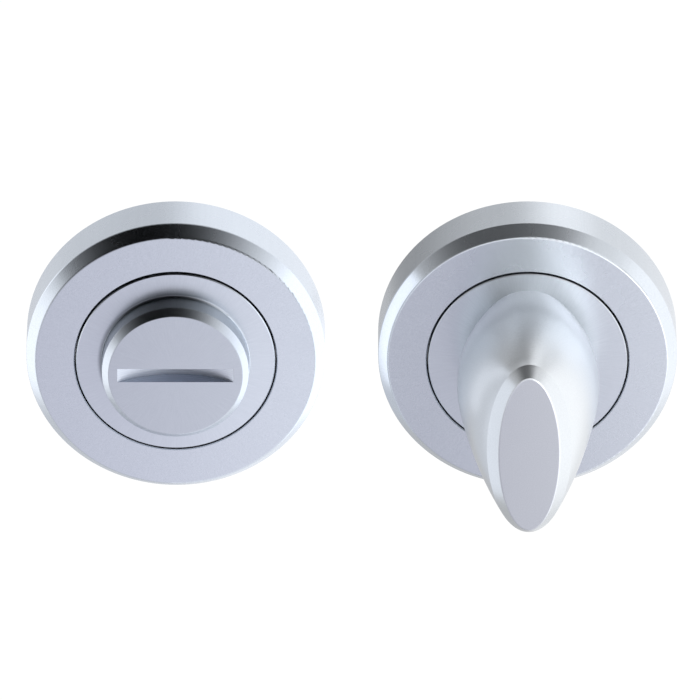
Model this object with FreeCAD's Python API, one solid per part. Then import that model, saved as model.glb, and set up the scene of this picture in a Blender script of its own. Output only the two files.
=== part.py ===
import FreeCAD, Part
import math
import os

# Bathroom lock furniture for a door: the thumb turn for the inside and the coin release for the outside,
# lying side by side. The origin is the centre of the turn's door face. The door is on the +Y side, the room is
# on the -Y side, +X runs from the release to the turn, and +Z is up. Lengths are in millimetres.
# A depth d is a distance out from the door face into the room, so a point at depth d has y = -d.

# Driving sizes of both roses
ROSE_SPACING = 61.2
ROSE_DIAMETER = 52.0
ROSE_THICKNESS = 10.5
COVER_CHAMFER_WIDTH = 1.6
COVER_CHAMFER_DEPTH = 2.3
COVER_SIDE_WALL = 1.4
COVER_FRONT_WALL = 1.8
COVER_INNER_CHAMFER = 0.8
COVER_FACE_ROUND = 0.45
COVER_SHOULDER_ROUND = 0.5
EDGE_BREAK = 0.15
DISC_DIAMETER = 34.6
DISC_GAP = 0.3
DISC_PROUD = 0.1
DISC_THICKNESS = 2.2
HUB_WALL = 3.0

# Driving sizes of the base plate and of what holds the cover on it
PLATE_THICKNESS = 5.0
PLATE_CLEARANCE = 0.1
PLATE_RECESS_DIAMETER = 22.0
PLATE_RECESS_DEPTH = 2.4
PLATE_EDGE_CHAMFER = 0.5
CLIP_WIRE_DIAMETER = 1.2
CLIP_HEIGHT = 2.6
CLIP_INSET = 0.4
CLIP_CLEARANCE = 0.1
CLIP_OPENING_DEG = 24.0

# Driving sizes of the bearing and of what keeps the shank in it
SHANK_DIAMETER = 12.0
SHANK_CLEARANCE = 0.05
SHANK_SHORT_OF_DOOR = 0.3
BUSH_WALL = 1.5
BUSH_FLANGE_MARGIN = 0.5
BUSH_FLANGE_THICKNESS = 0.8
BUSH_FIT = 0.03
THRUST_WASHER_MARGIN = 0.2
THRUST_WASHER_THICKNESS = 0.5
WASHER_BORE_CLEARANCE = 0.2
END_FLOAT = 0.05
SPRING_WASHER_DIAMETER = 17.0
SPRING_WASHER_THICKNESS = 0.35
SPRING_WASHER_RISE = 0.4
CIRCLIP_THICKNESS = 0.8
CIRCLIP_GROOVE_DEPTH = 0.5
CIRCLIP_WIDTH = 2.1
CIRCLIP_OPENING = 3.0
CIRCLIP_LUG_DIAMETER = 3.0
CIRCLIP_LUG_HOLE = 1.2
CIRCLIP_SIDE_CLEARANCE = 0.05

# Driving sizes of the thumb turn's knob, sections being ellipses square to its axis
KNOB_BASE_WIDTH = 20.2
KNOB_BASE_HEIGHT = 28.2
KNOB_BELLY_AT = 7.0
KNOB_BELLY_WIDTH = 24.6
KNOB_BELLY_HEIGHT = 29.5
KNOB_BELLY_TO_MIDDLE = 8.0
KNOB_MIDDLE_WIDTH = 23.4
KNOB_MIDDLE_HEIGHT = 31.0
KNOB_NECK_TO_RIM = 6.1
KNOB_NECK_WIDTH = 19.2
KNOB_NECK_HEIGHT = 32.4
KNOB_RIM_WIDTH = 14.6
KNOB_RIM_HEIGHT = 33.0
KNOB_LENGTH = 33.2
KNOB_BEVEL_DEPTH = 2.2
KNOB_END_WIDTH = 10.5
KNOB_END_HEIGHT = 29.9
KNOB_EDGE_ROUND = 0.35

# Driving sizes of the spindle and of the pin that holds it
SPINDLE_SIZE = 5.0
SPINDLE_BEHIND_DOOR_FACE = 40.0
SPINDLE_DEPTH_IN_KNOB = 14.0
SPINDLE_CHAMFER = 0.5
SPINDLE_CLEARANCE = 0.05
PIN_DIAMETER = 2.0
PIN_WALL = 0.4
PIN_SLIT = 0.4
PIN_CLEARANCE = 0.03

# Driving sizes of the release's coin boss
BOSS_DIAMETER = 25.6
BOSS_FACE_DIAMETER = 23.3
BOSS_HEIGHT = 5.05
BOSS_CHAMFER_DEPTH = 1.2
BOSS_FILLET = 0.4
BOSS_EDGE_ROUND = 0.2
SLOT_LENGTH = 20.2
SLOT_WIDTH = 2.6
SLOT_DEPTH = 2.9
SOCKET_SIZE = 5.3
SOCKET_DEPTH = 10.0

# Driving sizes of the fixings that pull the two roses together through the door
FIXING_LAND = 1.5
BOLT_DIAMETER = 4.0
BOLT_HEAD_DIAMETER = 8.0
BOLT_HEAD_DEPTH = 2.2
BOLT_NECK_DIAMETER = 3.5
BOLT_BEHIND_DOOR_FACE = 24.0
BOLT_END_CHAMFER = 0.4
BOLT_HOLE_CLEARANCE = 0.15
HEX_KEY_SIZE = 2.5
HEX_KEY_DEPTH = 1.6
POST_DIAMETER = 7.0
POST_LENGTH = 16.0
POST_SEAT_DEPTH = 1.2
POST_NECK_DIAMETER = 5.6
POST_HEAD_DIAMETER = 7.6
POST_HEAD_THICKNESS = 1.0
POST_THREAD_BORE = 3.3
POST_THREAD_LENGTH = 14.0
POST_CLEARANCE = 0.05

# Places that follow from the driving sizes
RELEASE_X = -ROSE_SPACING
TURN_X = 0.0
COVER_R = ROSE_DIAMETER / 2
COVER_INNER_R = COVER_R - COVER_SIDE_WALL
DISC_R = DISC_DIAMETER / 2
COVER_HOLE_R = DISC_R + DISC_GAP
DISC_FRONT = ROSE_THICKNESS + DISC_PROUD
DISC_BACK = DISC_FRONT - DISC_THICKNESS
PLATE_R = COVER_INNER_R - PLATE_CLEARANCE
SHANK_R = SHANK_DIAMETER / 2
HUB_R = SHANK_R + HUB_WALL
BUSH_BORE_R = SHANK_R + SHANK_CLEARANCE
BUSH_R = BUSH_BORE_R + BUSH_WALL
FLANGE_R = HUB_R + BUSH_FLANGE_MARGIN
FLANGE_FRONT = PLATE_THICKNESS + BUSH_FLANGE_THICKNESS
WASHER_R = HUB_R + THRUST_WASHER_MARGIN
WASHER_FRONT = FLANGE_FRONT + THRUST_WASHER_THICKNESS
HUB_BACK = WASHER_FRONT + END_FLOAT
WASHER_BORE_R = SHANK_R + WASHER_BORE_CLEARANCE
SPRING_BACK = PLATE_RECESS_DEPTH - SPRING_WASHER_THICKNESS - SPRING_WASHER_RISE
CIRCLIP_FRONT = SPRING_BACK - END_FLOAT
CIRCLIP_BACK = CIRCLIP_FRONT - CIRCLIP_THICKNESS
CIRCLIP_BORE_R = SHANK_R - CIRCLIP_GROOVE_DEPTH
CIRCLIP_R = CIRCLIP_BORE_R + CIRCLIP_WIDTH
KNOB_RIM_AT = KNOB_LENGTH - KNOB_BEVEL_DEPTH
KNOB_NECK_AT = KNOB_RIM_AT - KNOB_NECK_TO_RIM
KNOB_MIDDLE_AT = KNOB_BELLY_AT + KNOB_BELLY_TO_MIDDLE
PIN_DEPTH = (HUB_BACK + DISC_BACK) / 2
PIN_LENGTH = 2 * HUB_R
BOSS_R = BOSS_DIAMETER / 2
BOSS_FRONT = DISC_FRONT + BOSS_HEIGHT
FIXING_R = PLATE_R - BOLT_HEAD_DIAMETER / 2 - FIXING_LAND
FIXING_SIDES = (-1, 1)

FULL_TURN = 360.0
SAME_PLACE = 1e-4
ORIGIN = FreeCAD.Vector(0, 0, 0)
INTO_DOOR = FreeCAD.Vector(0, 1, 0)
INTO_ROOM = FreeCAD.Vector(0, -1, 0)
ACROSS = FreeCAD.Vector(1, 0, 0)


# Shapes that more than one piece uses


def turned(outline):
    """A solid turned about the rose's axis from an outline of (radius, depth) corners."""
    corners = [FreeCAD.Vector(radius, -depth, 0) for radius, depth in outline]
    wire = Part.makePolygon(corners + corners[:1])
    return Part.Face(wire).revolve(ORIGIN, INTO_DOOR, FULL_TURN)


def drum(radius, back, front):
    """A plain cylinder along the rose's axis between two depths."""
    return Part.makeCylinder(radius, front - back, FreeCAD.Vector(0, -back, 0), INTO_ROOM)


def square_bar(size, back, front):
    """A square bar on the rose's axis between two depths."""
    corner = FreeCAD.Vector(-size / 2, -front, -size / 2)
    return Part.makeBox(size, front - back, size, corner)


def ring_edges(shape, rings):
    """The circular edges of a turned shape at the given (radius, depth) places."""
    found = []
    for edge in shape.Edges:
        if not isinstance(edge.Curve, Part.Circle):
            continue
        radius = edge.Curve.Radius
        depth = -edge.Curve.Center.y
        for ring_radius, ring_depth in rings:
            same_radius = abs(radius - ring_radius) < SAME_PLACE
            if same_radius and abs(depth - ring_depth) < SAME_PLACE:
                found.append(edge)
    return found


def rounded_rings(shape, rings, radius):
    """The shape with the circular edges at the given places rounded."""
    return shape.makeFillet(radius, ring_edges(shape, rings))


def broken_rings(shape, rings, size):
    """The shape with the circular edges at the given places chamfered."""
    return shape.makeChamfer(size, ring_edges(shape, rings))


# Cover: a turned cup that hides the base plate and leaves a round window for the disc


def cover():
    shoulder = ROSE_THICKNESS - COVER_CHAMFER_DEPTH
    face_edge_r = COVER_R - COVER_CHAMFER_WIDTH
    ceiling = ROSE_THICKNESS - COVER_FRONT_WALL
    cup = turned([
        (COVER_INNER_R, 0),
        (COVER_R, 0),
        (COVER_R, shoulder),
        (face_edge_r, ROSE_THICKNESS),
        (COVER_HOLE_R, ROSE_THICKNESS),
        (COVER_HOLE_R, ceiling),
        (COVER_INNER_R - COVER_INNER_CHAMFER, ceiling),
        (COVER_INNER_R, ceiling - COVER_INNER_CHAMFER),
    ])
    cup = rounded_rings(cup, [(COVER_R, shoulder)], COVER_SHOULDER_ROUND)
    cup = rounded_rings(cup, [(face_edge_r, ROSE_THICKNESS)], COVER_FACE_ROUND)
    cup = broken_rings(cup, [(COVER_HOLE_R, ROSE_THICKNESS), (COVER_R, 0)], EDGE_BREAK)
    return cup.cut(clip_groove())


def clip_groove():
    """The round groove, half in the cover and half in the plate, that the clip sits in."""
    groove_r = CLIP_WIRE_DIAMETER / 2 + CLIP_CLEARANCE
    centre = FreeCAD.Vector(0, -CLIP_HEIGHT, 0)
    return Part.makeTorus(COVER_INNER_R - CLIP_INSET, groove_r, centre, INTO_DOOR)


def cover_clip():
    """A split wire ring, with its opening at the bottom."""
    centre = FreeCAD.Vector(0, -CLIP_HEIGHT, 0)
    ring = Part.makeTorus(COVER_INNER_R - CLIP_INSET, CLIP_WIRE_DIAMETER / 2, centre, INTO_DOOR)
    return ring.cut(opening_wedge(CLIP_OPENING_DEG))


def opening_wedge(angle_deg):
    """A wedge from the axis downwards that cuts the opening of a split ring."""
    reach = ROSE_DIAMETER
    half_width = reach * math.tan(math.radians(angle_deg / 2))
    corners = [
        FreeCAD.Vector(0, -ROSE_THICKNESS, 0),
        FreeCAD.Vector(-half_width, -ROSE_THICKNESS, -reach),
        FreeCAD.Vector(half_width, -ROSE_THICKNESS, -reach),
    ]
    wire = Part.makePolygon(corners + corners[:1])
    return Part.Face(wire).extrude(INTO_DOOR * 2 * ROSE_THICKNESS)


# Base plate: the casting that is fixed to the door and carries the bush


def base_plate():
    plate = turned([
        (BUSH_R + BUSH_FIT, PLATE_RECESS_DEPTH),
        (PLATE_RECESS_DIAMETER / 2, PLATE_RECESS_DEPTH),
        (PLATE_RECESS_DIAMETER / 2, 0),
        (PLATE_R, 0),
        (PLATE_R, PLATE_THICKNESS),
        (BUSH_R + BUSH_FIT, PLATE_THICKNESS),
    ])
    plate = broken_rings(plate, [(PLATE_R, PLATE_THICKNESS)], PLATE_EDGE_CHAMFER)
    return plate.cut(clip_groove())


def turn_base_plate():
    plate = base_plate()
    for side in FIXING_SIDES:
        plate = plate.cut(bolt_blank(side, BOLT_HOLE_CLEARANCE))
    return plate


def release_base_plate():
    plate = base_plate()
    for side in FIXING_SIDES:
        plate = plate.cut(post_blank(side, POST_CLEARANCE))
    return plate


# Fixings: countersunk bolts on the turn side, and threaded posts on the release side that take them


def at_fixing(shape, side):
    """The shape moved from the rose's axis to one of its two fixing places."""
    shape.translate(ACROSS * (side * FIXING_R))
    return shape


def bolt_blank(side, clearance):
    """The outline of a bolt in its hole, grown all round by a clearance."""
    head_r = BOLT_HEAD_DIAMETER / 2 + clearance
    stem_r = BOLT_DIAMETER / 2 + clearance
    head_back = PLATE_THICKNESS - BOLT_HEAD_DEPTH - clearance
    blank = turned([
        (0, PLATE_THICKNESS),
        (head_r, PLATE_THICKNESS),
        (head_r, PLATE_THICKNESS - clearance),
        (stem_r, head_back),
        (stem_r, -BOLT_BEHIND_DOOR_FACE),
        (0, -BOLT_BEHIND_DOOR_FACE),
    ])
    return at_fixing(blank, side)


def bolt(side):
    """A countersunk bolt: a plain neck inside the plate, and its thread's full width behind the door face."""
    stem_r = BOLT_DIAMETER / 2
    neck_r = BOLT_NECK_DIAMETER / 2
    head_back = PLATE_THICKNESS - BOLT_HEAD_DEPTH
    blank = turned([
        (0, PLATE_THICKNESS),
        (BOLT_HEAD_DIAMETER / 2, PLATE_THICKNESS),
        (neck_r, head_back),
        (neck_r, 0),
        (stem_r, 0),
        (stem_r, BOLT_END_CHAMFER - BOLT_BEHIND_DOOR_FACE),
        (stem_r - BOLT_END_CHAMFER, -BOLT_BEHIND_DOOR_FACE),
        (0, -BOLT_BEHIND_DOOR_FACE),
    ])
    return at_fixing(blank.cut(hex_recess()), side)


def hex_recess():
    """The six-sided socket in a bolt's head."""
    corner_r = HEX_KEY_SIZE / math.sqrt(3)
    floor = PLATE_THICKNESS - HEX_KEY_DEPTH
    corners = []
    for index in range(6):
        angle = math.radians(60 * index)
        corners.append(FreeCAD.Vector(corner_r * math.cos(angle), -floor, corner_r * math.sin(angle)))
    wire = Part.makePolygon(corners + corners[:1])
    return Part.Face(wire).extrude(INTO_ROOM * 2 * HEX_KEY_DEPTH)


def post_blank(side, clearance):
    """The outline of a post where it passes through the plate, grown by a clearance."""
    head_back = PLATE_THICKNESS - POST_HEAD_THICKNESS
    blank = turned([
        (0, PLATE_THICKNESS),
        (POST_HEAD_DIAMETER / 2 + clearance, PLATE_THICKNESS),
        (POST_HEAD_DIAMETER / 2 + clearance, head_back),
        (POST_NECK_DIAMETER / 2 + clearance, head_back),
        (POST_NECK_DIAMETER / 2 + clearance, POST_SEAT_DEPTH),
        (POST_DIAMETER / 2 + clearance, POST_SEAT_DEPTH),
        (POST_DIAMETER / 2 + clearance, 0),
        (0, 0),
    ])
    return at_fixing(blank, side)


def post(side):
    """A post seated in the plate's back, riveted over at its front, with a blind bore from its far end."""
    head_back = PLATE_THICKNESS - POST_HEAD_THICKNESS
    bore_r = POST_THREAD_BORE / 2
    bore_floor = POST_THREAD_LENGTH - POST_LENGTH
    blank = turned([
        (0, PLATE_THICKNESS),
        (POST_HEAD_DIAMETER / 2, PLATE_THICKNESS),
        (POST_HEAD_DIAMETER / 2, head_back),
        (POST_NECK_DIAMETER / 2, head_back),
        (POST_NECK_DIAMETER / 2, POST_SEAT_DEPTH),
        (POST_DIAMETER / 2, POST_SEAT_DEPTH),
        (POST_DIAMETER / 2, BOLT_END_CHAMFER - POST_LENGTH),
        (POST_DIAMETER / 2 - BOLT_END_CHAMFER, -POST_LENGTH),
        (bore_r, -POST_LENGTH),
        (bore_r, bore_floor),
        (0, bore_floor + bore_r),
    ])
    return at_fixing(blank, side)


# Bearing: a flanged bush, the washer in front of it, and the spring and clip behind it


def bush():
    return turned([
        (BUSH_BORE_R, PLATE_RECESS_DEPTH),
        (BUSH_R, PLATE_RECESS_DEPTH),
        (BUSH_R, PLATE_THICKNESS),
        (FLANGE_R, PLATE_THICKNESS),
        (FLANGE_R, FLANGE_FRONT),
        (BUSH_BORE_R, FLANGE_FRONT),
    ])


def thrust_washer():
    return turned([
        (WASHER_BORE_R, FLANGE_FRONT),
        (WASHER_R, FLANGE_FRONT),
        (WASHER_R, WASHER_FRONT),
        (WASHER_BORE_R, WASHER_FRONT),
    ])


def spring_washer():
    """A coned washer, its outer edge on the floor of the plate's recess."""
    outer_r = SPRING_WASHER_DIAMETER / 2
    return turned([
        (outer_r, PLATE_RECESS_DEPTH),
        (outer_r, PLATE_RECESS_DEPTH - SPRING_WASHER_THICKNESS),
        (WASHER_BORE_R, SPRING_BACK),
        (WASHER_BORE_R, SPRING_BACK + SPRING_WASHER_THICKNESS),
    ])


def circlip():
    """An external circlip, open at the bottom, with a drilled lug each side of its opening."""
    ring = drum(CIRCLIP_R, CIRCLIP_BACK, CIRCLIP_FRONT)
    lug_r = CIRCLIP_LUG_DIAMETER / 2
    lug_x = CIRCLIP_OPENING / 2 + lug_r
    lug_z = -math.sqrt(CIRCLIP_R ** 2 - lug_x ** 2)
    lugs = []
    holes = []
    for side in FIXING_SIDES:
        place = FreeCAD.Vector(side * lug_x, 0, lug_z)
        lug = drum(lug_r, CIRCLIP_BACK, CIRCLIP_FRONT)
        lug.translate(place)
        lugs.append(lug)
        hole = drum(CIRCLIP_LUG_HOLE / 2, CIRCLIP_BACK, CIRCLIP_FRONT)
        hole.translate(place)
        holes.append(hole)
    opening = Part.makeBox(
        CIRCLIP_OPENING, CIRCLIP_THICKNESS, ROSE_DIAMETER,
        FreeCAD.Vector(-CIRCLIP_OPENING / 2, -CIRCLIP_FRONT, -ROSE_DIAMETER),
    )
    ring = ring.fuse(lugs).removeSplitter()
    return ring.cut([drum(CIRCLIP_BORE_R, CIRCLIP_BACK, CIRCLIP_FRONT), opening] + holes)


def shank(front):
    """The round shank that turns in the bush, with the circlip's groove near its end."""
    groove_back = CIRCLIP_BACK - CIRCLIP_SIDE_CLEARANCE
    groove_front = CIRCLIP_FRONT + CIRCLIP_SIDE_CLEARANCE
    return turned([
        (0, SHANK_SHORT_OF_DOOR),
        (SHANK_R - EDGE_BREAK, SHANK_SHORT_OF_DOOR),
        (SHANK_R, SHANK_SHORT_OF_DOOR + EDGE_BREAK),
        (SHANK_R, groove_back),
        (CIRCLIP_BORE_R, groove_back),
        (CIRCLIP_BORE_R, groove_front),
        (SHANK_R, groove_front),
        (SHANK_R, front),
        (0, front),
    ])


# Thumb turn: the disc in the cover's window, the oval knob, the spindle and the pin through all three


def disc_outline(bore_r):
    """The turned outline of a disc with its hub, up to the given bore."""
    return [
        (bore_r, HUB_BACK),
        (HUB_R, HUB_BACK),
        (HUB_R, DISC_BACK),
        (DISC_R, DISC_BACK),
        (DISC_R, DISC_FRONT - EDGE_BREAK),
        (DISC_R - EDGE_BREAK, DISC_FRONT),
        (bore_r, DISC_FRONT),
    ]


def turn_disc():
    disc = turned(disc_outline(SHANK_R + BUSH_FIT))
    return disc.cut(pin_blank(PIN_CLEARANCE))


def oval(width, height, depth):
    """An upright elliptical wire at a depth."""
    long_half = max(width, height) / 2
    short_half = min(width, height) / 2
    curve = Part.Ellipse(ORIGIN, long_half, short_half)
    wire = Part.Wire([curve.toShape()])
    wire.rotate(ORIGIN, ACROSS, 90)
    if height > width:
        wire.rotate(ORIGIN, INTO_DOOR, 90)
    wire.translate(INTO_ROOM * depth)
    return wire


def knob_body():
    """The oval knob: lofted from its base to its rim, then a straight bevel to its end face."""
    sections = [
        (KNOB_BASE_WIDTH, KNOB_BASE_HEIGHT, 0),
        (KNOB_BELLY_WIDTH, KNOB_BELLY_HEIGHT, KNOB_BELLY_AT),
        (KNOB_MIDDLE_WIDTH, KNOB_MIDDLE_HEIGHT, KNOB_MIDDLE_AT),
        (KNOB_NECK_WIDTH, KNOB_NECK_HEIGHT, KNOB_NECK_AT),
        (KNOB_RIM_WIDTH, KNOB_RIM_HEIGHT, KNOB_RIM_AT),
    ]
    wires = [oval(width, height, DISC_FRONT + at) for width, height, at in sections]
    body = Part.makeLoft(wires, True, False)
    end = oval(KNOB_END_WIDTH, KNOB_END_HEIGHT, DISC_FRONT + KNOB_LENGTH)
    bevel = Part.makeLoft([wires[-1], end], True, True)
    return soft_edges(body.fuse(bevel))


def soft_edges(body):
    """The knob's body with the rim and the edge of its end face slightly rounded."""
    edges = []
    for edge in body.Edges:
        depth = -edge.BoundBox.Center.y
        flat = edge.BoundBox.YLength < SAME_PLACE
        at_rim = abs(depth - DISC_FRONT - KNOB_RIM_AT) < SAME_PLACE
        at_end = abs(depth - DISC_FRONT - KNOB_LENGTH) < SAME_PLACE
        if flat and (at_rim or at_end):
            edges.append(edge)
    return body.makeFillet(KNOB_EDGE_ROUND, edges)


def turn_knob():
    knob = knob_body().fuse(shank(DISC_FRONT)).removeSplitter()
    socket_front = DISC_FRONT + SPINDLE_DEPTH_IN_KNOB + SPINDLE_CLEARANCE
    socket = square_bar(SPINDLE_SIZE + 2 * SPINDLE_CLEARANCE, SHANK_SHORT_OF_DOOR, socket_front)
    return knob.cut([socket, pin_blank(PIN_CLEARANCE)])


def spindle():
    """The square bar that works the lock case, chamfered at both ends."""
    bar = square_bar(SPINDLE_SIZE, -SPINDLE_BEHIND_DOOR_FACE, DISC_FRONT + SPINDLE_DEPTH_IN_KNOB)
    ends = [face for face in bar.Faces if abs(face.normalAt(0, 0).y) > 1 - SAME_PLACE]
    edges = [edge for face in ends for edge in face.Edges]
    return bar.makeChamfer(SPINDLE_CHAMFER, edges).cut(pin_blank(PIN_CLEARANCE))


def pin_blank(clearance):
    """The upright pin's outline through the hub, grown by a clearance."""
    foot = FreeCAD.Vector(0, -PIN_DEPTH, -PIN_LENGTH / 2)
    up = FreeCAD.Vector(0, 0, 1)
    return Part.makeCylinder(PIN_DIAMETER / 2 + clearance, PIN_LENGTH, foot, up)


def turn_pin():
    """A slit spring pin."""
    foot = FreeCAD.Vector(0, -PIN_DEPTH, -PIN_LENGTH / 2)
    up = FreeCAD.Vector(0, 0, 1)
    bore = Part.makeCylinder(PIN_DIAMETER / 2 - PIN_WALL, PIN_LENGTH, foot, up)
    slit = Part.makeBox(
        PIN_SLIT, PIN_DIAMETER, PIN_LENGTH,
        FreeCAD.Vector(-PIN_SLIT / 2, -PIN_DEPTH, -PIN_LENGTH / 2),
    )
    return pin_blank(0).cut([bore, slit])


# Release: one turned piece, with a coin slot milled by a disc cutter and a square socket for the spindle


def release_turn():
    face_r = BOSS_FACE_DIAMETER / 2
    outline = disc_outline(0)[:-1] + [
        (BOSS_R, DISC_FRONT),
        (BOSS_R, BOSS_FRONT - BOSS_CHAMFER_DEPTH),
        (face_r, BOSS_FRONT),
        (0, BOSS_FRONT),
    ]
    piece = turned(outline)
    piece = rounded_rings(piece, [(BOSS_R, DISC_FRONT)], BOSS_FILLET)
    shoulder = (BOSS_R, BOSS_FRONT - BOSS_CHAMFER_DEPTH)
    piece = rounded_rings(piece, [shoulder, (face_r, BOSS_FRONT)], BOSS_EDGE_ROUND)
    piece = piece.fuse(shank(HUB_BACK)).removeSplitter()
    socket = square_bar(SOCKET_SIZE, SHANK_SHORT_OF_DOOR, SHANK_SHORT_OF_DOOR + SOCKET_DEPTH)
    return piece.cut([coin_slot(), socket])


def coin_slot():
    """The disc cutter's sweep: as long and as deep as the slot, with its axis above the boss's face."""
    cutter_r = (SLOT_LENGTH ** 2 / 4 + SLOT_DEPTH ** 2) / (2 * SLOT_DEPTH)
    axis_depth = BOSS_FRONT - SLOT_DEPTH + cutter_r
    foot = FreeCAD.Vector(0, -axis_depth, -SLOT_WIDTH / 2)
    return Part.makeCylinder(cutter_r, SLOT_WIDTH, foot, FreeCAD.Vector(0, 0, 1))


# Write one file for each named piece


def placed(shape, x):
    """The shape moved from the axis that it was made on to its rose's place."""
    moved = shape.copy()
    moved.translate(ACROSS * x)
    return moved


def both_sides(make):
    """Two like pieces at the two fixing places, as one group."""
    return Part.makeCompound([make(side) for side in FIXING_SIDES])


def pieces():
    made = {}
    for name, x in (("turn", TURN_X), ("release", RELEASE_X)):
        made[name + "_cover"] = placed(cover(), x)
        made[name + "_cover_clip"] = placed(cover_clip(), x)
        made[name + "_bush"] = placed(bush(), x)
        made[name + "_thrust_washer"] = placed(thrust_washer(), x)
        made[name + "_spring_washer"] = placed(spring_washer(), x)
        made[name + "_circlip"] = placed(circlip(), x)
    made["turn_base_plate"] = placed(turn_base_plate(), TURN_X)
    made["turn_disc"] = placed(turn_disc(), TURN_X)
    made["turn_knob"] = placed(turn_knob(), TURN_X)
    made["turn_spindle"] = placed(spindle(), TURN_X)
    made["turn_pin"] = placed(turn_pin(), TURN_X)
    made["turn_bolts"] = placed(both_sides(bolt), TURN_X)
    made["release_base_plate"] = placed(release_base_plate(), RELEASE_X)
    made["release_turn"] = placed(release_turn(), RELEASE_X)
    made["release_posts"] = placed(both_sides(post), RELEASE_X)
    return made


os.makedirs("parts", exist_ok=True)
for node, shape in pieces().items():
    shape.exportStep(os.path.join("parts", node + ".step"))
    solids = shape.Solids
    volume = sum(solid.Volume for solid in solids)
    print(f"{node}: {len(solids)} solid, {volume:.1f} mm3, valid {shape.isValid()}")
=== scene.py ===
import math
import bpy
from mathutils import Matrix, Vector


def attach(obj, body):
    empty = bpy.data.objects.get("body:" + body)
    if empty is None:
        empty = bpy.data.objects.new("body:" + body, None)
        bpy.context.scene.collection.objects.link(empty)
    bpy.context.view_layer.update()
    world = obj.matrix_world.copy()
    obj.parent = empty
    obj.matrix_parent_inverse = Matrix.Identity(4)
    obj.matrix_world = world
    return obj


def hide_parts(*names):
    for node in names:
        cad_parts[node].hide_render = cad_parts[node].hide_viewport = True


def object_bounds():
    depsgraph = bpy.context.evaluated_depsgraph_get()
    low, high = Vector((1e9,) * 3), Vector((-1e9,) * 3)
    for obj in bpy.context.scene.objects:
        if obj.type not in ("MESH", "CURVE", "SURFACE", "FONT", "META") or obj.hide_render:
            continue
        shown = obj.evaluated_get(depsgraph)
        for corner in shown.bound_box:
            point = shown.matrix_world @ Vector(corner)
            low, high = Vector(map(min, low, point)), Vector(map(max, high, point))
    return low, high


# The two roses of a bathroom lock, dressed for the camera: the coin release on the left, the thumb turn on
# the right. The door is on the +Y side, the room is on the -Y side, and +Z is up. Lengths are in metres.
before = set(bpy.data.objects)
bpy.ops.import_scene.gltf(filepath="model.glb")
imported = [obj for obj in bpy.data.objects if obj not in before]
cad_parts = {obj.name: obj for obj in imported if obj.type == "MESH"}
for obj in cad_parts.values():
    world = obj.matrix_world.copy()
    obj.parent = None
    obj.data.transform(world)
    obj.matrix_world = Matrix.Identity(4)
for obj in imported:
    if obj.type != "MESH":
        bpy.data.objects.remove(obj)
cad_low, cad_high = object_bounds()


# Covers
# Two cups turned from brass, brushed to a fine even satin and chrome plated, with a grain of about 0.2 mm.
# Each is pushed over its base plate, where a wire ring behind the rim holds it.
MM = 0.001
TURN_X = 0.0
RELEASE_X = -61.2 * MM
ROSES = {"turn": TURN_X, "release": RELEASE_X}
NOISE_REACH = (0.3, 0.7)
GRAIN_SIZE = 0.2 * MM
GRAIN_DETAIL = 2.0
GRAIN_FINENESS = 0.65
GRAIN_CLOUD_SIZE = 8 * MM
GRAIN_CLOUD_CHANGE = 0.015
STREAK_COUNT = 70.0
STREAK_LENGTH = 3 * MM
STREAK_DETAIL = 3.0
STREAK_FINENESS = 0.6
CHROME_DARK = (0.575, 0.615, 0.66)
CHROME_LIGHT = (0.645, 0.685, 0.73)
COVER_ROUGHNESS = 0.27
COVER_GRAIN_DEPTH = 0.001 * MM
COVER_STREAK_SHARE = 0.25
COVER_STREAK_DEPTH = 0.001 * MM


def new_material(name):
    """A node material, its tree and its Principled shader."""
    made = bpy.data.materials.new(name)
    made.use_nodes = True
    return made, made.node_tree, made.node_tree.nodes["Principled BSDF"]


def put(tree, value, socket):
    """Gives an input a value, which is another node's output or a number."""
    if isinstance(value, bpy.types.NodeSocket):
        tree.links.new(value, socket)
    elif value is not None:
        socket.default_value = value


def math_node(tree, operation, *values):
    """A math node on up to three values."""
    node = tree.nodes.new("ShaderNodeMath")
    node.operation = operation
    for value, socket in zip(values, node.inputs):
        put(tree, value, socket)
    return node.outputs[0]


def vector_node(tree, operation, first, second=None):
    """A vector math node on one or two vectors, or on a vector and a scale."""
    node = tree.nodes.new("ShaderNodeVectorMath")
    node.operation = operation
    put(tree, first, node.inputs[0])
    put(tree, second, node.inputs["Scale" if operation == "SCALE" else 1])
    return node.outputs["Value" if operation in ("LENGTH", "DOT_PRODUCT") else "Vector"]


def parts_of(tree, vector):
    """The X, Y and Z of a vector."""
    node = tree.nodes.new("ShaderNodeSeparateXYZ")
    tree.links.new(vector, node.inputs[0])
    return node.outputs


def joined(tree, **parts):
    """A vector from its X, Y and Z, those not given being 0."""
    node = tree.nodes.new("ShaderNodeCombineXYZ")
    for part, value in parts.items():
        put(tree, value, node.inputs[part.upper()])
    return node.outputs[0]


def off_axis(tree, vector):
    """A vector without its Y, so that its length is the distance from the Y axis."""
    parts = parts_of(tree, vector)
    return joined(tree, x=parts["X"], z=parts["Z"])


def noise(tree, vector, size, detail, fineness):
    """A noise texture whose patches are about as wide as the given size."""
    node = tree.nodes.new("ShaderNodeTexNoise")
    tree.links.new(vector, node.inputs["Vector"])
    put(tree, math_node(tree, "DIVIDE", 1.0, size), node.inputs["Scale"])
    node.inputs["Detail"].default_value = detail
    node.inputs["Roughness"].default_value = fineness
    return node.outputs["Fac"]


def limits(tree, value, given, wanted, eased=False):
    """A value stretched from one pair of limits to another, and held there beyond them."""
    node = tree.nodes.new("ShaderNodeMapRange")
    if eased:
        node.interpolation_type = "SMOOTHSTEP"
    tree.links.new(value, node.inputs["Value"])
    for socket, limit in zip(("From Min", "From Max", "To Min", "To Max"), (*given, *wanted)):
        node.inputs[socket].default_value = limit
    return node.outputs["Result"]


def spread(tree, value, wanted=(0.0, 1.0)):
    """A noise's value, which keeps near its middle, stretched to reach a pair of limits."""
    return limits(tree, value, NOISE_REACH, wanted)


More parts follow.
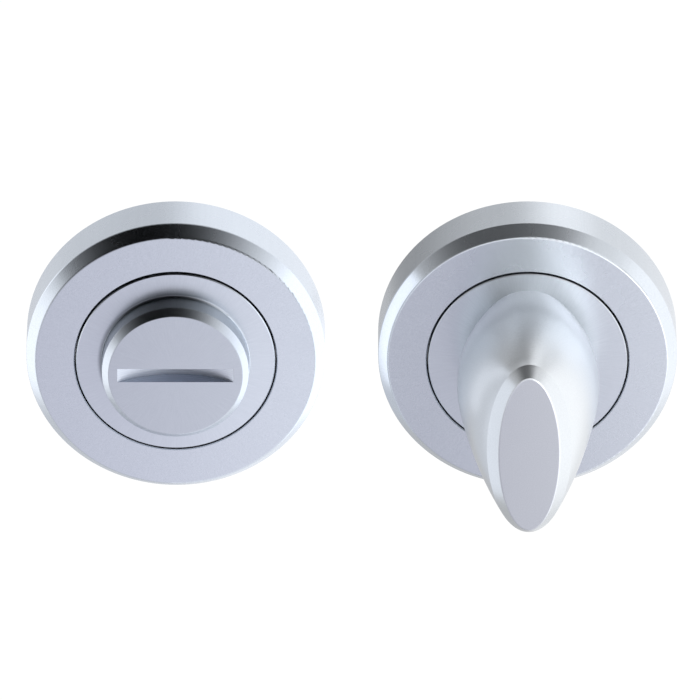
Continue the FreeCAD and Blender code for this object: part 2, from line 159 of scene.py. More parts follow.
def blend_colours(tree, mask, low, high):
    """A colour between two, by a mask."""
    node = tree.nodes.new("ShaderNodeMix")
    node.data_type = "RGBA"
    tree.links.new(mask, node.inputs["Factor"])
    for socket, colour in ((node.inputs["A"], low), (node.inputs["B"], high)):
        if isinstance(colour, tuple):
            colour = (*colour, 1.0)
        put(tree, colour, socket)
    return node.outputs["Result"]


def colour_by(tree, shader, tone, dark, light):
    """Colours a surface between a dark and a light shade, by a noise."""
    tree.links.new(blend_colours(tree, spread(tree, tone), dark, light), shader.inputs["Base Color"])


def new_group(name, numbers, output):
    """A group for a surface effect: it takes a vector and named numbers, and puts out one value."""
    tree = bpy.data.node_groups.new(name, "ShaderNodeTree")
    tree.interface.new_socket("Vector", in_out="INPUT", socket_type="NodeSocketVector")
    for number in numbers:
        tree.interface.new_socket(number, in_out="INPUT", socket_type="NodeSocketFloat")
    tree.interface.new_socket(output, in_out="OUTPUT", socket_type="NodeSocketFloat")
    return tree, tree.nodes.new("NodeGroupInput").outputs, tree.nodes.new("NodeGroupOutput").inputs[output]


def effect(tree, group, vector, **numbers):
    """A surface effect placed in a material with its own values."""
    node = tree.nodes.new("ShaderNodeGroup")
    node.node_tree = group
    tree.links.new(vector, node.inputs["Vector"])
    for socket, value in numbers.items():
        node.inputs[socket.replace("_", " ").title()].default_value = value
    return node.outputs[0]


# Even grain of one size, for satin, cast, moulded and plated surfaces.
GRAIN, given, out = new_group("even_grain", ("Grain Size",), "Grain")
GRAIN.links.new(noise(GRAIN, given["Vector"], given["Grain Size"], GRAIN_DETAIL, GRAIN_FINENESS), out)

# Short streaks that run outwards from the Y axis, as a brush leaves when it crosses a spinning face.
STREAKS, given, out = new_group("radial_streaks", ("Streaks", "Streak Length"), "Streaks")
flat = off_axis(STREAKS, given["Vector"])
around = vector_node(STREAKS, "SCALE", vector_node(STREAKS, "NORMALIZE", flat), given["Streaks"])
outwards = math_node(STREAKS, "DIVIDE", vector_node(STREAKS, "LENGTH", flat), given["Streak Length"])
place = vector_node(STREAKS, "ADD", around, joined(STREAKS, y=outwards))
STREAKS.links.new(noise(STREAKS, place, 1.0, STREAK_DETAIL, STREAK_FINENESS), out)


def place_about(tree, x, y=0.0, turn=(0, 0, 0)):
    """Object coordinates about a line through the object, turned where a pattern runs another way."""
    place = tree.nodes.new("ShaderNodeTexCoord")
    turned = tree.nodes.new("ShaderNodeMapping")
    turned.inputs["Rotation"].default_value = turn
    tree.links.new(vector_node(tree, "SUBTRACT", place.outputs["Object"], (x, y, 0)), turned.inputs["Vector"])
    return turned.outputs[0]


def mixed(tree, *shares):
    """The sum of values, each with its share."""
    total = 0.0
    for value, share in shares:
        total = math_node(tree, "ADD", math_node(tree, "MULTIPLY", value, share), total)
    return total


def relief(tree, shader, height):
    """Fine relief on a surface from a height in metres."""
    bump = tree.nodes.new("ShaderNodeBump")
    bump.inputs["Strength"].default_value = 1.0
    bump.inputs["Distance"].default_value = 1.0
    tree.links.new(height, bump.inputs["Height"])
    tree.links.new(bump.outputs["Normal"], shader.inputs["Normal"])


def satin_chrome(name, centre_x, roughness, grain_depth, streak_share, streak_depth, dark=CHROME_DARK,
                 light=CHROME_LIGHT):
    """Satin chrome plate: even grain, with streaks that run outwards from the rose's axis."""
    made, tree, shader = new_material(name)
    place = place_about(tree, centre_x)
    grain = effect(tree, GRAIN, place, grain_size=GRAIN_SIZE)
    cloud = effect(tree, GRAIN, place, grain_size=GRAIN_CLOUD_SIZE)
    streaks = effect(tree, STREAKS, place, streaks=STREAK_COUNT, streak_length=STREAK_LENGTH)
    colour_by(tree, shader, mixed(tree, (grain, 1.0 - streak_share), (streaks, streak_share)), dark, light)
    even = spread(tree, cloud, (roughness - GRAIN_CLOUD_CHANGE, roughness + GRAIN_CLOUD_CHANGE))
    tree.links.new(even, shader.inputs["Roughness"])
    shader.inputs["Metallic"].default_value = 1.0
    relief(tree, shader, mixed(tree, (grain, grain_depth), (streaks, streak_depth)))
    return made, tree, shader, place


def dress(node, made):
    """Gives a piece that is kept from the frame its finish."""
    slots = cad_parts[node].data.materials
    for index in range(len(slots)):
        slots[index] = made


for rose, centre_x in ROSES.items():
    made = satin_chrome(rose + "_cover_chrome", centre_x, COVER_ROUGHNESS, COVER_GRAIN_DEPTH,
                        COVER_STREAK_SHARE, COVER_STREAK_DEPTH)[0]
    dress(rose + "_cover", made)


# Turn's disc
# The flush disc in the window of the turn's cover, which turns with the knob. It is turned from brass like
# the cover, and its face is brushed from the middle outwards before plating, so its streaks are clearer.
DISC_ROUGHNESS = 0.29
DISC_GRAIN_DEPTH = 0.0015 * MM
DISC_STREAK_SHARE = 0.6
DISC_STREAK_DEPTH = 0.005 * MM
made = satin_chrome("turn_disc_chrome", TURN_X, DISC_ROUGHNESS, DISC_GRAIN_DEPTH, DISC_STREAK_SHARE,
                    DISC_STREAK_DEPTH)[0]
dress("turn_disc", made)


# Knob
# The solid oval knob, die cast in zinc, brushed and chrome plated. Its curved sides are finished on a soft
# wheel, which leaves an even grain with hardly a streak in it, and a slightly warmer shade than the cover's.
KNOB_DARK = (0.59, 0.618, 0.64)
KNOB_LIGHT = (0.66, 0.688, 0.71)
KNOB_ROUGHNESS = 0.29
KNOB_GRAIN_DEPTH = 0.0015 * MM
KNOB_STREAK_SHARE = 0.1
# Painted reflection: these place a dark streak painted into the colour along the knob's top.
REFLECTED_STREAK_SHADE = 0.70
REFLECTED_STREAK_BACK_X = 1.5 * MM
REFLECTED_STREAK_BACK_Y = -14.5 * MM
REFLECTED_STREAK_LEAN = 0.114
REFLECTED_STREAK_HALF_WIDTH = (4.2 * MM, 0.8 * MM)
REFLECTED_STREAK_RAGGED = 1.5 * MM
REFLECTED_STREAK_RAGGED_SIZE = 0.6 * MM
REFLECTED_STREAK_FADE_BACK = (-12 * MM, -31 * MM)
REFLECTED_STREAK_FADE_FRONT = (-41.5 * MM, -38.5 * MM)
REFLECTED_STREAK_ABOVE = (6 * MM, 10 * MM)


def product(tree, total, *others):
    """Values multiplied together."""
    for value in others:
        total = math_node(tree, "MULTIPLY", total, value)
    return total


def fade(tree, value, start, end):
    """A mask that goes softly from 0 at the start to 1 at the end, which may be the lower of the two."""
    return limits(tree, value, (start, end), (0.0, 1.0), eased=True)


def between(tree, mask, low, high):
    """A value between two, by a mask."""
    return limits(tree, mask, (0.0, 1.0), (low, high))


made, tree, shader, place = satin_chrome("turn_knob_chrome", TURN_X, KNOB_ROUGHNESS, KNOB_GRAIN_DEPTH,
                                         KNOB_STREAK_SHARE, 0.0, KNOB_DARK, KNOB_LIGHT)

# A dark streak with a ragged edge is painted along the knob's top, darkening its colour: a painted reflection
# of a dark patch above and behind the knob.
parts = parts_of(tree, place)
along = math_node(tree, "SUBTRACT", parts["Y"], REFLECTED_STREAK_BACK_Y)
middle = math_node(tree, "ADD", product(tree, along, REFLECTED_STREAK_LEAN), REFLECTED_STREAK_BACK_X)
away = math_node(tree, "ABSOLUTE", math_node(tree, "SUBTRACT", parts["X"], middle))
ragged = product(tree, effect(tree, GRAIN, place, grain_size=REFLECTED_STREAK_RAGGED_SIZE), REFLECTED_STREAK_RAGGED)
reflected_streak = product(tree, fade(tree, math_node(tree, "ADD", away, ragged), *REFLECTED_STREAK_HALF_WIDTH),
               fade(tree, parts["Y"], *REFLECTED_STREAK_FADE_BACK), fade(tree, parts["Y"], *REFLECTED_STREAK_FADE_FRONT),
               fade(tree, parts["Z"], *REFLECTED_STREAK_ABOVE))
bright = shader.inputs["Base Color"].links[0].from_socket
tree.links.new(vector_node(tree, "SCALE", bright, between(tree, reflected_streak, 1.0, REFLECTED_STREAK_SHADE)),
               shader.inputs["Base Color"])
dress("turn_knob", made)


# Release
# The disc and coin boss are turned from one piece of brass, brushed outwards and chrome plated. The slot is
# plunged with a disc cutter, whose marks run along it and stay visible under the plating.
QUARTER_TURN = math.radians(90)
SLOT_LENGTH = 20.2 * MM
SLOT_WIDTH = 2.6 * MM
SLOT_DEPTH = 2.9 * MM
SLOT_MARGIN = 0.02 * MM
BOSS_FRONT = -15.65 * MM
SLOT_MIDDLE_Y = BOSS_FRONT + SLOT_DEPTH / 2 + SLOT_MARGIN
BOSS_RADIUS = 12.8 * MM
BOSS_FACE_SHADE = 0.88
DISC_FRONT = -10.6 * MM
DISC_FALL = math.tan(math.radians(3.0))
# Painted shade: the corner at the boss's foot is painted dark on its left side.
CORNER_SHADE_WIDTH = (0.1 * MM, 1.0 * MM)
CORNER_SHADE_COLOUR = (0.24, 0.26, 0.29)
CORNER_SHADE_GONE_X = (0.0, 7.0 * MM)
CUTTER_RADIUS = (SLOT_LENGTH ** 2 / 4 + SLOT_DEPTH ** 2) / (2 * SLOT_DEPTH)
CUTTER_Y = BOSS_FRONT + SLOT_DEPTH - CUTTER_RADIUS
CUTTER_MARKS = 0.16 * MM
CUTTER_MARK_DEPTH = 0.012 * MM
RING_DETAIL = 2.0
RING_FINENESS = 0.5
# Painted light and shade in the slot: a lighter floor and darker walls than the chrome.
LIT_FLOOR_DARK = (0.70, 0.75, 0.84)
LIT_FLOOR_LIGHT = (0.92, 0.96, 1.0)
SHADED_WALL_DARK = (0.25, 0.28, 0.34)
SHADED_WALL_LIGHT = (0.68, 0.73, 0.82)
SLOT_ROUGHNESS = 0.42

# Uneven rings about the Y axis, as a lathe tool leaves on faces, sides and chamfers alike.
TURNING, given, out = new_group("turning_marks", ("Pitch",), "Rings")
radius = vector_node(TURNING, "LENGTH", off_axis(TURNING, given["Vector"]))
steps = math_node(TURNING, "ADD", radius, parts_of(TURNING, given["Vector"])["Y"])
TURNING.links.new(noise(TURNING, joined(TURNING, x=steps), given["Pitch"], RING_DETAIL, RING_FINENESS), out)

made, tree, shader, place = satin_chrome("release_chrome", RELEASE_X, DISC_ROUGHNESS, DISC_GRAIN_DEPTH,
                                         DISC_STREAK_SHARE, DISC_STREAK_DEPTH)
parts = parts_of(tree, place)
radius = vector_node(tree, "LENGTH", off_axis(tree, place))
colour, smoothness = shader.inputs["Base Color"], shader.inputs["Roughness"]

# Painted shade darkens the corner at the boss's foot on its left half, and fades out towards the right.
beside = math_node(tree, "ABSOLUTE", math_node(tree, "SUBTRACT", radius, BOSS_RADIUS))
above = math_node(tree, "ABSOLUTE", math_node(tree, "SUBTRACT", parts["Y"], DISC_FRONT))
unshaded = math_node(tree, "MAXIMUM", fade(tree, math_node(tree, "MAXIMUM", beside, above), *CORNER_SHADE_WIDTH),
                    fade(tree, parts["X"], *CORNER_SHADE_GONE_X))
at_face = math_node(tree, "LESS_THAN", parts["Y"], BOSS_FRONT + SLOT_MARGIN)
bright = vector_node(tree, "SCALE", colour.links[0].from_socket, between(tree, at_face, 1.0, BOSS_FACE_SHADE))
with_corner_shade = blend_colours(tree, unshaded, CORNER_SHADE_COLOUR, bright)

# The slot is painted in two tones: its floor lighter than the chrome, as painted light, and its walls darker,
# as painted shade. Both carry the cutter's marks, which are rings about the cutter's own axis.
aside = math_node(tree, "ABSOLUTE", parts["Z"])
slot = product(tree, math_node(tree, "LESS_THAN", aside, SLOT_WIDTH / 2 + SLOT_MARGIN),
               math_node(tree, "LESS_THAN", math_node(tree, "ABSOLUTE", parts["X"]), SLOT_LENGTH / 2),
               math_node(tree, "COMPARE", parts["Y"], SLOT_MIDDLE_Y, SLOT_DEPTH / 2))
marks = effect(tree, TURNING, place_about(tree, RELEASE_X, CUTTER_Y, (QUARTER_TURN, 0, 0)),
               pitch=CUTTER_MARKS)
lines = spread(tree, marks)
at_shaded_wall = math_node(tree, "GREATER_THAN", aside, SLOT_WIDTH / 2 - SLOT_MARGIN)
cut = blend_colours(tree, at_shaded_wall, blend_colours(tree, lines, LIT_FLOOR_DARK, LIT_FLOOR_LIGHT),
                    blend_colours(tree, lines, SHADED_WALL_DARK, SHADED_WALL_LIGHT))
tree.links.new(blend_colours(tree, slot, with_corner_shade, cut), colour)
rougher = math_node(tree, "MAXIMUM", smoothness.links[0].from_socket, product(tree, slot, SLOT_ROUGHNESS))
tree.links.new(rougher, smoothness)

# The brush leaves the disc falling away outwards by 3 degrees.
height = shader.inputs["Normal"].links[0].from_node.inputs["Height"]
past_boss = math_node(tree, "MAXIMUM", math_node(tree, "SUBTRACT", radius, BOSS_RADIUS), 0.0)
tree.links.new(mixed(tree, (height.links[0].from_socket, 1.0), (past_boss, -DISC_FALL),
                     (product(tree, marks, slot), CUTTER_MARK_DEPTH)), height)
dress("release_turn", made)


# Base plates
# Two zinc die castings that are fixed to the door and carry the covers. The skin is as cast, dull and uneven.
# The recess for the circlip and the bush's bore are turned afterwards, which leaves bright rings there.
CAST_DARK = (0.36, 0.37, 0.39)
CAST_LIGHT = (0.50, 0.51, 0.53)
CAST_GRAIN = 0.5 * MM
CAST_GRAIN_SHARE = 0.5
CAST_CLOUD = 6 * MM
CAST_GRAIN_DEPTH = 0.015 * MM
CAST_ROUGHNESS = 0.55
CAST_METALLIC = 0.6
TURNED_ZINC_DARK = (0.55, 0.56, 0.58)
TURNED_ZINC_LIGHT = (0.70, 0.71, 0.73)
TURNED_RADIUS = 11.1 * MM
TURNED_PITCH = 0.15 * MM
TURNED_ROUGHNESS = 0.35
for rose, centre_x in ROSES.items():
    made, tree, shader = new_material(rose + "_base_plate_zinc")
    place = place_about(tree, centre_x)
    turned = math_node(tree, "LESS_THAN", vector_node(tree, "LENGTH", off_axis(tree, place)), TURNED_RADIUS)
    grain = effect(tree, GRAIN, place, grain_size=CAST_GRAIN)
    cloud = effect(tree, GRAIN, place, grain_size=CAST_CLOUD)
    rings = effect(tree, TURNING, place, pitch=TURNED_PITCH)
    uneven = mixed(tree, (grain, CAST_GRAIN_SHARE), (cloud, 1.0 - CAST_GRAIN_SHARE))
    skin = blend_colours(tree, spread(tree, uneven), CAST_DARK, CAST_LIGHT)
    bright = blend_colours(tree, spread(tree, rings), TURNED_ZINC_DARK, TURNED_ZINC_LIGHT)
    tree.links.new(blend_colours(tree, turned, skin, bright), shader.inputs["Base Color"])
    tree.links.new(between(tree, turned, CAST_ROUGHNESS, TURNED_ROUGHNESS), shader.inputs["Roughness"])
    shader.inputs["Metallic"].default_value = CAST_METALLIC
    relief(tree, shader, product(tree, grain, CAST_GRAIN_DEPTH))
    dress(rose + "_base_plate", made)


# Bushes
# Flanged bushes moulded from natural nylon, which the shanks turn in. Nylon is slightly clear, so light gets
# a little way in, and its surface is faintly cloudy with a fine moulded texture.
NYLON_DARK = (0.80, 0.78, 0.71)
NYLON_LIGHT = (0.88, 0.87, 0.82)
NYLON_CLOUD = 2.5 * MM
NYLON_GRAIN = 0.15 * MM
NYLON_GRAIN_DEPTH = 0.003 * MM
NYLON_ROUGHNESS = (0.42, 0.5)
NYLON_CLEARNESS = 0.3
NYLON_LIGHT_DEPTH = 0.8 * MM
for rose, centre_x in ROSES.items():
    made, tree, shader = new_material(rose + "_bush_nylon")
    place = place_about(tree, centre_x)
    colour_by(tree, shader, effect(tree, GRAIN, place, grain_size=NYLON_CLOUD), NYLON_DARK, NYLON_LIGHT)
    grain = effect(tree, GRAIN, place, grain_size=NYLON_GRAIN)
    tree.links.new(spread(tree, grain, NYLON_ROUGHNESS), shader.inputs["Roughness"])
    shader.inputs["Subsurface Weight"].default_value = NYLON_CLEARNESS
    shader.inputs["Subsurface Scale"].default_value = NYLON_LIGHT_DEPTH
    relief(tree, shader, product(tree, grain, NYLON_GRAIN_DEPTH))
    dress(rose + "_bush", made)


# Thrust washers
# Plain brass washers stamped from rolled sheet, between each hub and its bush. The rolling leaves fine
# straight lines, and running against the hub polishes rings into the face.
BRASS_DARK = (0.62, 0.45, 0.19)
BRASS_LIGHT = (0.76, 0.60, 0.31)
BRASS_ROUGHNESS = (0.22, 0.34)
ROLLED_WIDTH = 0.08 * MM
ROLLED_LENGTH = 6 * MM
ROLLED_SHARE = 0.5
DRAWN_DETAIL = 2.0
DRAWN_FINENESS = 0.6
WORN_PITCH = 0.2 * MM

# Long straight streaks along the Y axis, as rolling leaves on sheet, and drawing through a die on a bar.
DRAWN, given, out = new_group("drawn_streaks", ("Streak Width", "Streak Length"), "Streaks")
parts = parts_of(DRAWN, given["Vector"])
squeeze = math_node(DRAWN, "DIVIDE", given["Streak Width"], given["Streak Length"])
place = joined(DRAWN, x=parts["X"], y=product(DRAWN, parts["Y"], squeeze), z=parts["Z"])
DRAWN.links.new(noise(DRAWN, place, given["Streak Width"], DRAWN_DETAIL, DRAWN_FINENESS), out)

for rose, centre_x in ROSES.items():
    made, tree, shader = new_material(rose + "_thrust_washer_brass")
    lines = effect(tree, DRAWN, place_about(tree, centre_x, turn=(QUARTER_TURN, 0, 0)),
                   streak_width=ROLLED_WIDTH, streak_length=ROLLED_LENGTH)
    rings = effect(tree, TURNING, place_about(tree, centre_x), pitch=WORN_PITCH)
    both = mixed(tree, (lines, ROLLED_SHARE), (rings, 1.0 - ROLLED_SHARE))
    colour_by(tree, shader, both, BRASS_DARK, BRASS_LIGHT)
    tree.links.new(spread(tree, rings, BRASS_ROUGHNESS), shader.inputs["Roughness"])
    shader.inputs["Metallic"].default_value = 1.0
    dress(rose + "_thrust_washer", made)


# Clips, spring washers, circlips and pin
# All are spring steel, hardened and oiled to a dark blue-grey. The cover clips are drawn wire, the coned
# washers and circlips are stamped strip, and the slotted pin is rolled from strip, so all have fine lines.
SPRING_DARK = (0.13, 0.14, 0.17)
SPRING_LIGHT = (0.30, 0.31, 0.34)
SPRING_ROUGHNESS = (0.28, 0.42)
SPRING_METALLIC = 0.9
RUBBED_PITCH = 0.1 * MM
RUBBED_SHARE = 0.45
RUBBED_DEPTH = 0.004 * MM
OIL_CLOUD = 1.6 * MM
SPRING_PIECES = {"turn": ("cover_clip", "spring_washer", "circlip", "pin"),
                 "release": ("cover_clip", "spring_washer", "circlip")}
for rose, centre_x in ROSES.items():
    for piece in SPRING_PIECES[rose]:
        made, tree, shader = new_material(rose + "_" + piece + "_steel")
        place = place_about(tree, centre_x)
        rings = effect(tree, TURNING, place, pitch=RUBBED_PITCH)
        cloud = effect(tree, GRAIN, place, grain_size=OIL_CLOUD)
        both = mixed(tree, (rings, RUBBED_SHARE), (cloud, 1.0 - RUBBED_SHARE))
        colour_by(tree, shader, both, SPRING_DARK, SPRING_LIGHT)
        tree.links.new(spread(tree, cloud, SPRING_ROUGHNESS), shader.inputs["Roughness"])
        shader.inputs["Metallic"].default_value = SPRING_METALLIC
        relief(tree, shader, product(tree, rings, RUBBED_DEPTH))
        dress(rose + "_" + piece, made)


# Spindle
# A 5 mm square steel bar, cold drawn and zinc plated, which the knob turns. Drawing leaves fine straight
# lines along it, and the bright plating is slightly cloudy.
ZINC_DARK = (0.55, 0.56, 0.57)
ZINC_LIGHT = (0.74, 0.75, 0.77)
ZINC_ROUGHNESS = (0.26, 0.36)
PLATING_CLOUD = 3 * MM
PLATING_CLOUD_SHARE = 0.6
PLATING_GRAIN = 0.3 * MM
DRAWN_WIDTH = 0.1 * MM
DRAWN_LENGTH = 20 * MM
DRAWN_DEPTH = 0.006 * MM


def zinc_plate(name):
    """Bright zinc plate, cloudy and a little grainy, to which the marks of the steel below can be added."""
    made, tree, shader = new_material(name)
    place = place_about(tree, TURN_X)
    cloud = effect(tree, GRAIN, place, grain_size=PLATING_CLOUD)
    grain = effect(tree, GRAIN, place, grain_size=PLATING_GRAIN)
    tone = mixed(tree, (cloud, PLATING_CLOUD_SHARE), (grain, 1.0 - PLATING_CLOUD_SHARE))
    colour_by(tree, shader, tone, ZINC_DARK, ZINC_LIGHT)
    tree.links.new(spread(tree, tone, ZINC_ROUGHNESS), shader.inputs["Roughness"])
    shader.inputs["Metallic"].default_value = 1.0
    return made, tree, shader, place


made, tree, shader, place = zinc_plate("spindle_zinc_plate")
lines = effect(tree, DRAWN, place, streak_width=DRAWN_WIDTH, streak_length=DRAWN_LENGTH)
relief(tree, shader, product(tree, lines, DRAWN_DEPTH))
dress("turn_spindle", made)


# Bolts
# Two M4 countersunk bolts that pass through the door and pull the roses together. Each is cold headed with a
# hex socket, has a plain neck inside the plate, and has its thread rolled before it is zinc plated.
FIXING_X = 19.0 * MM
THREAD_PITCH = 0.7 * MM
THREAD_CREST_FLAT = THREAD_PITCH / 8
THREAD_HALF_ANGLE = math.radians(30)
THREAD_STEPS = 32
THREAD_SPARE_TURNS = 2
BOLT_OUTER_RADIUS = 2.0 * MM
BOLT_ROOT_RADIUS = 1.57 * MM
BOLT_HEAD_RADIUS = 4.0 * MM
BOLT_HEAD_FRONT = -5.0 * MM
BOLT_HEAD_BACK = -2.8 * MM
BOLT_HEAD_RIM = 0.1 * MM
BOLT_NECK_RADIUS = 1.75 * MM
BOLT_NECK_INTO_THREAD = 0.5 * MM
BOLT_END = 24.0 * MM
BOLT_LEAD = 0.4 * MM
HEX_CORNER_RADIUS = 2.5 * MM / math.sqrt(3)
HEX_SIDES = 6
HEX_SPIN = math.radians(30)
HEX_START = -10.0 * MM
HEX_FLOOR = -3.4 * MM
HEX_POINT_DEPTH = 0.5 * MM
POINT_NARROWED = 0.05
ROD_SIDES = 64
SMOOTH_UNDER = math.radians(35)
ROUND_OVER = 1.003
TINY = 0.001 * MM
SLICE_THRESHOLD = 0.0001 * MM


def begin(name):
    """Names the primitive just added, puts its place in its mesh, and leaves nothing in it selected."""
    piece = bpy.context.active_object
    piece.name = name
    piece.data.name = name
    bpy.ops.object.transform_apply(location=True, rotation=True, scale=True)
    bpy.ops.object.mode_set(mode="EDIT")
    bpy.ops.mesh.select_all(action="DESELECT")
    bpy.ops.object.mode_set(mode="OBJECT")
    return piece


def select_at(piece, wanted, kind="polygons"):
    """Selects the faces, or the vertices, whose middle passes a test, and goes into edit mode."""
    for items in (piece.data.polygons, piece.data.edges, piece.data.vertices):
        for item in items:
            item.select = False
    for item in getattr(piece.data, kind):
        item.select = wanted(item.center if kind == "polygons" else item.co)
    bpy.ops.object.mode_set(mode="EDIT")
    bpy.ops.mesh.select_mode(type="FACE" if kind == "polygons" else "VERT")


def add_rod(name, radius, start, end, sides=ROD_SIDES, spin=0.0):
    """A cylinder along the Y axis between two places, left in object mode."""
    bpy.ops.object.select_all(action="DESELECT")
    bpy.ops.mesh.primitive_cylinder_add(vertices=sides, radius=radius, depth=end - start,
                                        location=(0, (start + end) / 2, 0), rotation=(QUARTER_TURN, spin, 0))
    return begin(name)


def extend(piece, at, along_by, widen_by=1.0):
    """Extrudes the end face at a place along Y, and widens or narrows what was extruded."""
    select_at(piece, lambda middle: abs(middle.y - at) < TINY and math.hypot(middle.x, middle.z) < TINY)
    bpy.ops.mesh.extrude_region_move(TRANSFORM_OT_translate={"value": (0, along_by, 0)})
    bpy.ops.transform.resize(value=(widen_by, 1, widen_by), center_override=(0, at + along_by, 0))
    bpy.ops.object.mode_set(mode="OBJECT")


def select_with(piece, *others):
    """Selects a piece and others, and nothing else, with the piece active."""
    bpy.ops.object.select_all(action="DESELECT")
    for each in (piece, *others):
        each.select_set(True)
    bpy.context.view_layer.objects.active = piece


def combine(piece, other, operation):
    """Cuts one solid with another, or keeps what both share, and removes the other."""
    cut = piece.modifiers.new(operation, "BOOLEAN")
    cut.operation = operation
    cut.solver = "EXACT"
    cut.object = other
    select_with(piece)
    bpy.ops.object.modifier_apply(modifier=cut.name)
    bpy.data.objects.remove(other)


def thread_rod(name, root, crest, start, end):
    """A threaded rod along Y: one tooth of the thread wound round the axis, and cut square at both ends."""
    flank = (crest - root) * math.tan(THREAD_HALF_ANGLE)
    tip = THREAD_PITCH - THREAD_CREST_FLAT - flank
    tooth = [(root, 0.0), (root, tip - flank), (crest, tip), (crest, tip + THREAD_CREST_FLAT),
             (root, THREAD_PITCH)]
    bpy.ops.object.select_all(action="DESELECT")
    bpy.ops.mesh.primitive_plane_add(size=THREAD_PITCH)
    piece = begin(name)
    select_at(piece, lambda corner: corner.x < 0, "vertices")
    bpy.ops.mesh.delete(type="VERT")
    bpy.ops.mesh.select_all(action="SELECT")
    bpy.ops.mesh.subdivide(number_cuts=len(tooth) - 2)
    bpy.ops.object.mode_set(mode="OBJECT")
    line = sorted(piece.data.vertices, key=lambda corner: corner.co.y)
    for corner, (radius, along) in zip(line, tooth):
        corner.co = (radius, start - THREAD_PITCH + along, 0)
    wound = piece.modifiers.new("wound", "SCREW")
    wound.axis = "Y"
    wound.screw_offset = THREAD_PITCH
    wound.steps = THREAD_STEPS
    wound.render_steps = THREAD_STEPS
    wound.iterations = math.ceil((end - start) / THREAD_PITCH) + THREAD_SPARE_TURNS
    bpy.ops.object.modifier_apply(modifier=wound.name)
    bpy.ops.object.mode_set(mode="EDIT")
    bpy.ops.mesh.select_all(action="SELECT")
    bpy.ops.mesh.remove_doubles(threshold=TINY)
    for at, front, back in ((start, False, True), (end, True, False)):
        bpy.ops.mesh.select_all(action="SELECT")
        bpy.ops.mesh.bisect(plane_co=(0, at, 0), plane_no=(0, 1, 0), use_fill=True, clear_inner=back,
                            clear_outer=front, threshold=SLICE_THRESHOLD)
    bpy.ops.mesh.select_all(action="SELECT")
    bpy.ops.mesh.normals_make_consistent(inside=False)
    bpy.ops.object.mode_set(mode="OBJECT")
    return piece


def finish_pair(piece, name, node, centre_x, material):
    """Copies a fixing to both fixing places, and puts the pair in place of its node."""
    select_with(piece)
    bpy.ops.object.mode_set(mode="EDIT")
    bpy.ops.mesh.select_all(action="SELECT")
    bpy.ops.mesh.duplicate()
    bpy.ops.transform.translate(value=(2 * FIXING_X, 0, 0))
    bpy.ops.mesh.select_all(action="SELECT")
    bpy.ops.transform.translate(value=(centre_x - FIXING_X, 0, 0))
    bpy.ops.object.mode_set(mode="OBJECT")
    bpy.ops.object.shade_smooth_by_angle(angle=SMOOTH_UNDER)
    piece.name = name
    piece.data.name = name
    piece.data.materials.clear()
    piece.data.materials.append(material)
    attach(piece, "roses")
    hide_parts(node)


bolts = thread_rod("bolt_threads", BOLT_ROOT_RADIUS, BOLT_OUTER_RADIUS, 0.0, BOLT_END + BOLT_LEAD)
lead = add_rod("bolt_lead", BOLT_OUTER_RADIUS * ROUND_OVER, -BOLT_LEAD, BOLT_END - BOLT_LEAD)
extend(lead, BOLT_END - BOLT_LEAD, BOLT_LEAD, BOLT_ROOT_RADIUS / (BOLT_OUTER_RADIUS * ROUND_OVER))
combine(bolts, lead, "INTERSECT")
head = add_rod("bolt_head", BOLT_HEAD_RADIUS, BOLT_HEAD_FRONT, BOLT_HEAD_FRONT + BOLT_HEAD_RIM)
extend(head, BOLT_HEAD_FRONT + BOLT_HEAD_RIM, BOLT_HEAD_BACK - BOLT_HEAD_FRONT - BOLT_HEAD_RIM,
       BOLT_NECK_RADIUS / BOLT_HEAD_RADIUS)
extend(head, BOLT_HEAD_BACK, BOLT_NECK_INTO_THREAD - BOLT_HEAD_BACK)
hexagon = add_rod("bolt_hexagon", HEX_CORNER_RADIUS, HEX_START, HEX_FLOOR, HEX_SIDES, HEX_SPIN)
extend(hexagon, HEX_FLOOR, HEX_POINT_DEPTH, POINT_NARROWED)
combine(head, hexagon, "DIFFERENCE")
select_with(bolts, head)
bpy.ops.object.join()
finish_pair(bolts, "turn_bolts_threaded", "turn_bolts", TURN_X, zinc_plate("bolt_zinc_plate")[0])


# Posts
# Two steel posts on the release's plate that take the bolts from the other side of the door. Each is turned
# from drawn bar, tapped M4 from its open end, zinc plated, and riveted over where it comes through the plate.
POST_RADIUS = 3.5 * MM
POST_FRONT = -1.2 * MM
POST_END = 16.0 * MM
POST_EDGE = 0.4 * MM
POST_NECK_RADIUS = 2.8 * MM
POST_NECK_FRONT = -4.0 * MM
POST_HEAD_RADIUS = 3.8 * MM
POST_HEAD_FRONT = -5.0 * MM
POST_HEAD_DOME = 0.15 * MM
POST_STREAK_LENGTH = 40 * MM
POST_STREAK_DEPTH = 0.003 * MM
BORE_RADIUS = 1.65 * MM
BORE_FLOOR = 2.0 * MM
BORE_POINT = BORE_RADIUS / 2
INSIDE_BORE = BORE_RADIUS - 0.01 * MM
TAPPED_FROM = 4.0 * MM
TAP_RADIUS = 2.03 * MM
MOUTH_RADIUS = 2.2 * MM
MOUTH_DEPTH = 0.5 * MM
CLEAR_OF_END = 1.0 * MM
posts = add_rod("post", POST_RADIUS, POST_FRONT, POST_END - POST_EDGE)
extend(posts, POST_END - POST_EDGE, POST_EDGE, 1 - POST_EDGE / POST_RADIUS)
extend(posts, POST_FRONT, 0.0, POST_NECK_RADIUS / POST_RADIUS)
extend(posts, POST_FRONT, POST_NECK_FRONT - POST_FRONT)
extend(posts, POST_NECK_FRONT, 0.0, POST_HEAD_RADIUS / POST_NECK_RADIUS)
extend(posts, POST_NECK_FRONT, POST_HEAD_FRONT - POST_NECK_FRONT + POST_HEAD_DOME)
extend(posts, POST_HEAD_FRONT + POST_HEAD_DOME, -POST_HEAD_DOME, POST_NECK_RADIUS / POST_HEAD_RADIUS)
bore = add_rod("post_bore", BORE_RADIUS, BORE_FLOOR, POST_END + CLEAR_OF_END)
